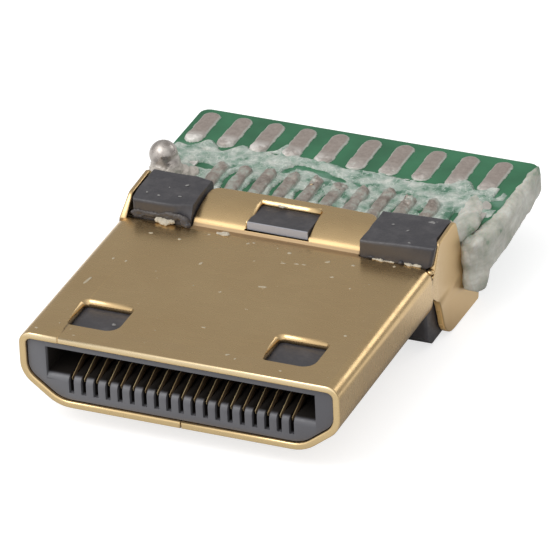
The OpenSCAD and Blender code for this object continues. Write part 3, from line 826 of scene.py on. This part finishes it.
# Bare green gaps in the crust: middle x, y, half sizes and a turn in degrees
CRUST_GAPS = (
    (-4.25, 11.85, 0.42, 0.2, -8), (-4.6, 12.8, 0.14, 0.04, -20), (-2.38, 13.25, 0.16, 0.07, -10),
    (-3.06, 11.2, 0.22, 0.65, 0), (-2.26, 11.05, 0.2, 0.6, 0), (-1.45, 11.1, 0.2, 0.6, 0),
    (-0.65, 11.1, 0.18, 0.4, 0), (0.2, 11.1, 0.18, 0.35, 0), (-1.58, 12.42, 0.16, 0.3, -25),
    (-1.1, 12.68, 0.46, 0.17, -5), (-0.4, 12.54, 0.5, 0.18, -18), (0.15, 12.36, 0.3, 0.16, -20),
    (0.9, 12.25, 0.3, 0.1, -25), (2.17, 13.02, 0.16, 0.07, 0), (0.99, 11.2, 0.14, 0.3, 0),
    (1.81, 11.3, 0.14, 0.3, 0), (2.6, 11.2, 0.18, 0.45, 0), (3.45, 11.35, 0.22, 0.2, 0),
    (5.25, 12.45, 0.25, 0.4, -30), (5.2, 13.3, 0.1, 0.5, 0),
)
# The crust's rear edge: x and y
CRUST_REAR = (
    (-5.7, 13.0), (-5.2, 12.9), (-4.66, 13.4), (-4.1, 12.92), (-3.5, 13.4), (-3.0, 13.2),
    (-2.5, 13.38), (-2.2, 13.95), (-1.9, 13.4), (-1.3, 13.3), (-0.4, 13.22), (0.2, 13.04),
    (0.7, 13.17), (1.3, 13.17), (1.8, 13.07), (2.3, 13.1), (2.8, 13.03), (3.4, 13.2), (4.0, 13.6),
    (4.45, 13.1), (5.1, 13.5), (5.4, 13.2),
)


def crust_height(x, y):
    """The height of the dried flux over the board, which is below 0 where the board is bare."""
    rear = along_line(CRUST_REAR, x) + 0.06 * noise.noise(Vector((x * 5.0, 7.0, 0.0)))
    inside = fall_between(y, rear - 0.08, rear + 0.05)
    inside *= ramp_between(x, -5.7, -5.6) * fall_between(x, 5.3, 5.5)
    front = (10.3, 10.6) if x < 4.3 else (11.6, 12.0)
    inside *= ramp_between(y, *front)
    broad = noise.noise(Vector((x * 1.5, y * 1.9, 1.7)))
    folds = abs(noise.noise(Vector((x * 2.6, y * 3.2, 5.1))))
    value = inside * (0.07 + 0.04 * broad + 0.06 * folds) - 0.008
    bend = 0.25 * noise.noise(Vector((x * 3.0, y * 3.0, 9.0)))
    for gap_x, gap_y, half_x, half_y, turn in CRUST_GAPS:
        cos, sin = math.cos(math.radians(turn)), math.sin(math.radians(turn))
        u = (x - gap_x) * cos + (y - gap_y) * sin
        v = (y - gap_y) * cos - (x - gap_x) * sin
        value -= 0.2 * fall_between(math.hypot(u / half_x, v / half_y) + bend, 0.8, 1.2)
    return value


def crust():
    """A thin glaze of dried flux on the board between the wire pads and the tails."""
    bm = height_sheet((-5.7, 5.5), (10.3, 14.1), 0.035, BOARD_TOP, crust_height)
    piece_from(bm, "flux_crust", FLUX)


# The flux curtain from front to rear: y, its lower edge and how far it stands off the board
CURTAIN = (
    (9.84, 0.42, -0.2), (10.0, 0.33, -0.05), (10.2, 0.3, 0.08), (10.35, 0.34, 0.16),
    (10.5, 0.60, 0.2), (10.62, 0.84, 0.22), (11.5, 0.84, 0.24), (12.5, 0.9, 0.24),
    (14.0, 0.97, 0.2), (15.0, 1.1, 0.15), (15.24, 1.25, 0.05),
)
# The share of the curtain's outline that laps over the board's top
LAP_SHARE = 0.25


def curtain_section(y, steps):
    """The curtain's outline at a place along Y: from the board's top, over its edge and down."""
    low = along_line([(place, low) for place, low, _ in CURTAIN], y)
    proud = along_line([(place, out) for place, _, out in CURTAIN], y)
    lap = 0.16 + 0.08 * noise.noise(Vector((y * 1.7, 0.0, 2.0))) + 0.3 * fall_between(y, 10.0, 12.6)
    lap *= 1.0 - 0.5 * ramp_between(y, 14.6, CURTAIN[-1][0])
    thick = fall_between(y, 14.9, CURTAIN[-1][0])
    line = []
    for j in range(steps + 1):
        t = j / steps
        if t < LAP_SHARE:
            s = t / LAP_SHARE
            x = BOARD_SIDE - lap * (1.0 - s)
            z = BOARD_TOP + 0.05 * math.sin(math.pi / 2 * min(1.0, 1.6 * s)) * thick
        else:
            s = (t - LAP_SHARE) / (1.0 - LAP_SHARE)
            hem = 1.0 - 0.5 * max(0.0, s - 0.8) / 0.2
            x = BOARD_SIDE + proud * min(1.0, 5.0 * s) ** 0.5 * hem
            top = BOARD_TOP + 0.04 * thick
            z = top - s * (top - low)
        line.append(Vector((x, y, z)))
    return line


def edge_crust():
    """Smooth grey flux that hangs over the board's right edge and down to the wing's toe."""
    bm = bmesh.new()
    rows, steps = 170, 30
    y0, y1 = CURTAIN[0][0], CURTAIN[-1][0]
    grid = []
    for i in range(rows + 1):
        line = curtain_section(y0 + (y1 - y0) * i / rows, steps)
        grid.append([bm.verts.new(point) for point in line])
    for a, b in zip(grid, grid[1:]):
        for j in range(steps):
            bm.faces.new((a[j], a[j + 1], b[j + 1], b[j]))
    bmesh.ops.recalc_face_normals(bm, faces=bm.faces)
    bm.faces.ensure_lookup_table()
    if bm.faces[steps // 2 + rows // 2 * steps].normal.x < 0:
        bmesh.ops.reverse_faces(bm, faces=bm.faces)
    roughen(bm, 0.035, 0.8, 4.0, test=lambda p: 1.0 - 0.8 * ramp_between(p.y, 14.6, 15.1))
    roughen(bm, 0.012, 0.25, 9.0)
    # A back on the board's own face closes the piece
    rim = [e for e in bm.edges if e.is_boundary]
    for item in bmesh.ops.extrude_edge_only(bm, edges=rim)["geom"]:
        if isinstance(item, bmesh.types.BMVert):
            front = fall_between(item.co.y, 9.9, 10.7)
            z = min(max(item.co.z, 1.2 - 0.75 * front), 1.92)
            item.co = Vector((5.6 - 0.3 * front, item.co.y, z))
    piece_from(bm, "edge_crust", SIDE_FLUX)


LEAF_BALLS = (
    (4.82, 11.7, 2.03, 0.36, 0.75, 0.12), (4.62, 12.35, 2.03, 0.2, 0.55, 0.1),
    (5.04, 10.9, 2.12, 0.38, 0.75, 0.22),
)
MASS_BALLS = (
    (5.38, 10.15, 1.45, 0.26, 0.4, 0.6), (5.38, 10.15, 0.75, 0.26, 0.36, 0.5),
    (5.32, 10.2, 1.9, 0.24, 0.4, 0.25),
)
POST_BALLS = (
    (-5.15, 10.86, 2.8, 0.46, 0.46, 0.46), (-5.0, 10.76, 2.36, 0.52, 0.4, 0.46),
    (-5.06, 10.84, 2.6, 0.46, 0.42, 0.34), (-4.6, 10.95, 2.15, 0.3, 0.3, 0.26),
    (-4.36, 11.2, 2.1, 0.2, 0.32, 0.16),
)


def ground_joint(name, node_name, balls, shader, depth, seed):
    """A ground joint as one lump: its CAD solid and more balls under one rough skin."""
    bm = cad_copy(node_name)
    add_balls(bm, balls)
    bm = voxel_bmesh(bm, 0.035, smooth=8)
    roughen(bm, depth, 0.6, seed)
    roughen(bm, depth / 4, 0.2, seed + 3.0)
    piece_from(bm, name, shader, [node_name])


def left_post():
    """The left joint keeps a clean round ball on a rough pale post."""
    bm = cad_copy("left_upper_solder")
    add_balls(bm, POST_BALLS)
    bm = voxel_bmesh(bm, 0.03, smooth=3)
    roughen(bm, 0.05, 0.35, 2.0, test=lambda p: fall_between(p.z, 2.5, 2.7))
    piece_from(bm, "left_post", SOLDER, ["left_upper_solder"])


# Specks of flux and dust

# Middle x, y, half length, half width and a turn in degrees
SHELL_SPECKS = (
    (-4.47, 3.47, 0.24, 0.05, 80), (0.73, 4.82, 0.16, 0.05, 10), (-4.77, 0.36, 0.06, 0.04, 0),
    (-3.52, 0.31, 0.05, 0.03, 0), (0.01, 2.02, 0.07, 0.03, 0), (1.32, 0.77, 0.08, 0.05, 30),
    (1.63, 0.62, 0.04, 0.03, 0), (4.24, 2.94, 0.05, 0.05, 0), (3.18, 0.42, 0.05, 0.03, 0),
    (-4.26, 4.94, 0.06, 0.04, 70), (-3.83, 4.92, 0.07, 0.03, 80), (-3.8, 6.76, 0.08, 0.05, 10),
    (-2.8, 6.68, 0.05, 0.05, 0), (-1.6, 5.53, 0.09, 0.05, 80), (-0.36, 4.12, 0.06, 0.03, 20),
    (-0.7, 7.12, 0.06, 0.04, 40), (-0.55, 7.21, 0.05, 0.04, 0), (0.73, 6.99, 0.07, 0.06, 0),
    (0.79, 6.35, 0.1, 0.03, 5), (1.19, 6.45, 0.08, 0.03, 0), (2.04, 6.87, 0.09, 0.05, 20),
    (1.42, 6.48, 0.08, 0.03, 0), (2.87, 6.92, 0.07, 0.05, 0), (4.07, 7.27, 0.06, 0.05, 0),
    (2.52, 6.06, 0.07, 0.04, 20), (-2.06, 7.25, 0.05, 0.04, 0), (3.3, 5.6, 0.04, 0.04, 0),
    (-0.1, 6.2, 0.04, 0.03, 0),
)
BLOCK_SPECKS = (
    (-3.43, 8.8, 0.09, 0.06, 50), (-4.02, 7.94, 0.08, 0.06, 0), (-4.45, 8.01, 0.05, 0.04, 0),
    (-3.37, 8.08, 0.08, 0.03, 10), (-4.5, 8.9, 0.04, 0.03, 0), (4.07, 8.43, 0.12, 0.04, 60),
    (4.64, 9.15, 0.24, 0.11, 10), (3.5, 8.7, 0.08, 0.03, 30), (4.4, 7.75, 0.08, 0.03, 0),
    (-3.9, 8.5, 0.04, 0.03, 0),
)


def speck(bm, x, y, z, long, short, thick, degrees):
    """A flat grain with those half sizes, turned about the upright."""
    turn = Matrix.Rotation(math.radians(degrees), 4, "Z")
    place = Matrix.Translation((x, y, z)) @ turn @ Matrix.Diagonal((long, short, thick, 1.0))
    bmesh.ops.create_icosphere(bm, subdivisions=2, radius=1.0, matrix=place)


def shell_specks():
    """Pale grains on the shell: those that stand out in their places, and fine ones at random."""
    bm = bmesh.new()
    for x, y, long, short, degrees in SHELL_SPECKS:
        speck(bm, x, y, SHELL_TOP, long, short, 0.014, degrees)
    draw = random.Random(7)
    for _ in range(36):
        x, y = draw.uniform(-4.9, 4.9), draw.uniform(0.2, 7.3)
        if 0.7 < y < 2.5 and 2.2 < abs(x) < 4.2:
            continue    # in a latch hole
        size = draw.uniform(0.012, 0.024)
        short = size * draw.uniform(0.5, 1.0)
        speck(bm, x, y, SHELL_TOP, size, short, 0.01, draw.uniform(0, 180))
    roughen(bm, 0.015, 0.06, 1.0)
    piece_from(bm, "shell_specks", DUST)


def plastic_specks():
    """Grey grains on the upper blocks and one in the left latch hole."""
    bm = bmesh.new()
    for x, y, long, short, degrees in BLOCK_SPECKS:
        sunk = 0.03 + 0.06 * fall_between(x, 2.9, 4.0) if x > 0 else 0.0
        speck(bm, x, y, BLOCK_TOP - sunk, 0.75 * long, 0.75 * short, 0.02, degrees)
    speck(bm, -2.79, 1.65, 2.17, 0.07, 0.06, 0.04, 0)
    roughen(bm, 0.015, 0.06, 1.0)
    piece_from(bm, "plastic_specks", GREY)


BLOB_BALLS = (
    (-3.62, 7.42, 2.47, 0.2, 0.14, 0.1), (-3.84, 7.47, 2.5, 0.14, 0.1, 0.07),
    (-3.44, 7.48, 2.52, 0.14, 0.1, 0.1), (-1.66, 7.42, 2.43, 0.22, 0.1, 0.03),
    (-0.28, 8.86, 2.88, 0.2, 0.06, 0.04), (5.02, 9.5, 2.9, 0.09, 0.12, 0.09),
    (4.48, 7.5, 2.44, 0.2, 0.07, 0.05), (4.68, 7.5, 2.44, 0.18, 0.06, 0.05),
    (3.55, 7.5, 2.42, 0.3, 0.06, 0.03), (3.85, 7.5, 2.42, 0.15, 0.05, 0.03),
)


def flux_blobs():
    """White flux before the blocks, at the strap's foot and window, and on the right wing's tip."""
    bm = bmesh.new()
    add_balls(bm, BLOB_BALLS)
    bm = voxel_bmesh(bm, 0.018, smooth=2)
    roughen(bm, 0.04, 0.2, 8.0)
    piece_from(bm, "flux_blobs", WHITE)


plated_shell()
moulding()
flash()
wire_pads()
fingers()
crust()
edge_crust()
left_post()
ground_joint("right_leaf", "right_upper_solder", LEAF_BALLS, SIDE_FLUX, 0.014, 1.0)
ground_joint("right_mass", "right_lower_solder", MASS_BALLS, SIDE_FLUX, 0.03, 6.0)
ground_joint("left_mass", "left_lower_solder", (), SOLDER, 0.05, 12.0)
shell_specks()
plastic_specks()
flux_blobs()

wear([n for n in NODES if n.startswith("contact_")], CONTACT)
wear(["circuit_board"], LAMINATE)
wear(["bottom_wire_pads", "top_tail_pads", "bottom_tail_pads", "ground_pads"], TIN)
wear(["bottom_tail_solder"], SOLDER)


# The studio

# The camera was fitted to the shell, the board and the pads in the reference picture
AZIMUTH = math.radians(24.062)
ELEVATION = math.radians(30.090)
ROLL = math.radians(-2.553)
DISTANCE = 215.085
TARGET = Vector((0.816, 6.0, 2.034))
SENSOR = 36.0
LENS = 453.1
FLOOR_Z = -0.65
FLOOR_HALF = 600.0
LAMP_DISTANCE = 300.0


def camera():
    data = bpy.data.cameras.new("camera")
    data.sensor_width = SENSOR
    data.lens = LENS
    data.clip_start = 0.01
    data.clip_end = 10.0
    view = bpy.data.objects.new("camera", data)
    back = Vector((
        math.sin(AZIMUTH) * math.cos(ELEVATION),
        -math.cos(AZIMUTH) * math.cos(ELEVATION),
        math.sin(ELEVATION),
    ))
    right = Vector((math.cos(AZIMUTH), math.sin(AZIMUTH), 0.0))
    up = back.cross(right)
    rolled_right = math.cos(ROLL) * right + math.sin(ROLL) * up
    rolled_up = math.cos(ROLL) * up - math.sin(ROLL) * right
    turn = Matrix((rolled_right, rolled_up, back)).transposed().to_4x4()
    view.matrix_world = Matrix.Translation((TARGET + DISTANCE * back) * MM) @ turn
    bpy.context.scene.collection.objects.link(view)
    bpy.context.scene.camera = view


def lamp(name, direction, size, power):
    """A square soft light, with its power in watts, that shines on the plug from a direction."""
    data = bpy.data.lights.new(name, "AREA")
    data.shape = "SQUARE"
    data.size = size * MM
    data.energy = power
    light = bpy.data.objects.new(name, data)
    aim = Vector(direction).normalized()
    light.location = (TARGET + LAMP_DISTANCE * aim) * MM
    light.rotation_euler = aim.to_track_quat("Z", "Y").to_euler()
    bpy.context.scene.collection.objects.link(light)


def floor():
    """A white floor that takes the plug's shadow, and that metal sees pale in front and behind."""
    mesh = bpy.data.meshes.new("floor")
    corners = ((-1, -1), (1, -1), (1, 1), (-1, 1))
    corners = [Vector((x * FLOOR_HALF, y * FLOOR_HALF, FLOOR_Z)) * MM for x, y in corners]
    mesh.from_pydata(corners, [], [(0, 1, 2, 3)])
    piece = bpy.data.objects.new("floor", mesh)
    bpy.context.scene.collection.objects.link(piece)
    shader = Shader("floor", (0.48, 0.48, 0.48), 0.9)
    tree = shader.tree
    path = tree.nodes.new("ShaderNodeLightPath")
    seen = shader.product(path.outputs["Is Camera Ray"], 0.7)
    before_and_behind = shader.ramp(
        shader.along("Y", -4.0, 16.0), (0.0, 0.22), (0.4, 0.0), (0.63, 0.0), (0.74, 0.5),
    )
    mirrored = shader.product(path.outputs["Is Glossy Ray"], before_and_behind)
    glow = tree.nodes.new("ShaderNodeEmission")
    shader.link(shader.maths("ADD", seen, mirrored), glow.inputs["Strength"])
    both = tree.nodes.new("ShaderNodeAddShader")
    shader.link(shader.bsdf.outputs[0], both.inputs[0])
    shader.link(glow.outputs[0], both.inputs[1])
    shader.link(both.outputs[0], tree.nodes["Material Output"].inputs["Surface"])
    mesh.materials.append(shader.material)


def world():
    """A light tent that is brightest above the front and darkest behind."""
    studio = bpy.data.worlds.new("studio")
    bpy.context.scene.world = studio
    studio.use_nodes = True
    tree = studio.node_tree
    background = tree.nodes["Background"]
    place = tree.nodes.new("ShaderNodeTexCoord")
    towards = tree.nodes.new("ShaderNodeVectorMath")
    towards.operation = "DOT_PRODUCT"
    towards.inputs[1].default_value = (-0.2, -0.8, 0.56)
    tree.links.new(place.outputs["Generated"], towards.inputs[0])
    share = tree.nodes.new("ShaderNodeMapRange")
    share.inputs["From Min"].default_value = -1.0
    tree.links.new(towards.outputs["Value"], share.inputs["Value"])
    tent = tree.nodes.new("ShaderNodeValToRGB")
    greys = ((0.0, 0.24), (0.36, 0.225), (0.55, 0.26), (0.7, 0.38), (0.85, 0.6), (1.0, 0.6))
    fill_ramp(tent, greys)
    tree.links.new(share.outputs["Result"], tent.inputs["Fac"])
    tree.links.new(tent.outputs["Color"], background.inputs["Color"])
    background.inputs["Strength"].default_value = 2.0


camera()
lamp("key", (-0.35, -0.45, 0.82), size=165, power=0.3)
lamp("rim", (0.5, 0.73, 0.46), size=100, power=0.06)
floor()
world()
bpy.context.scene.view_settings.view_transform = "Standard"
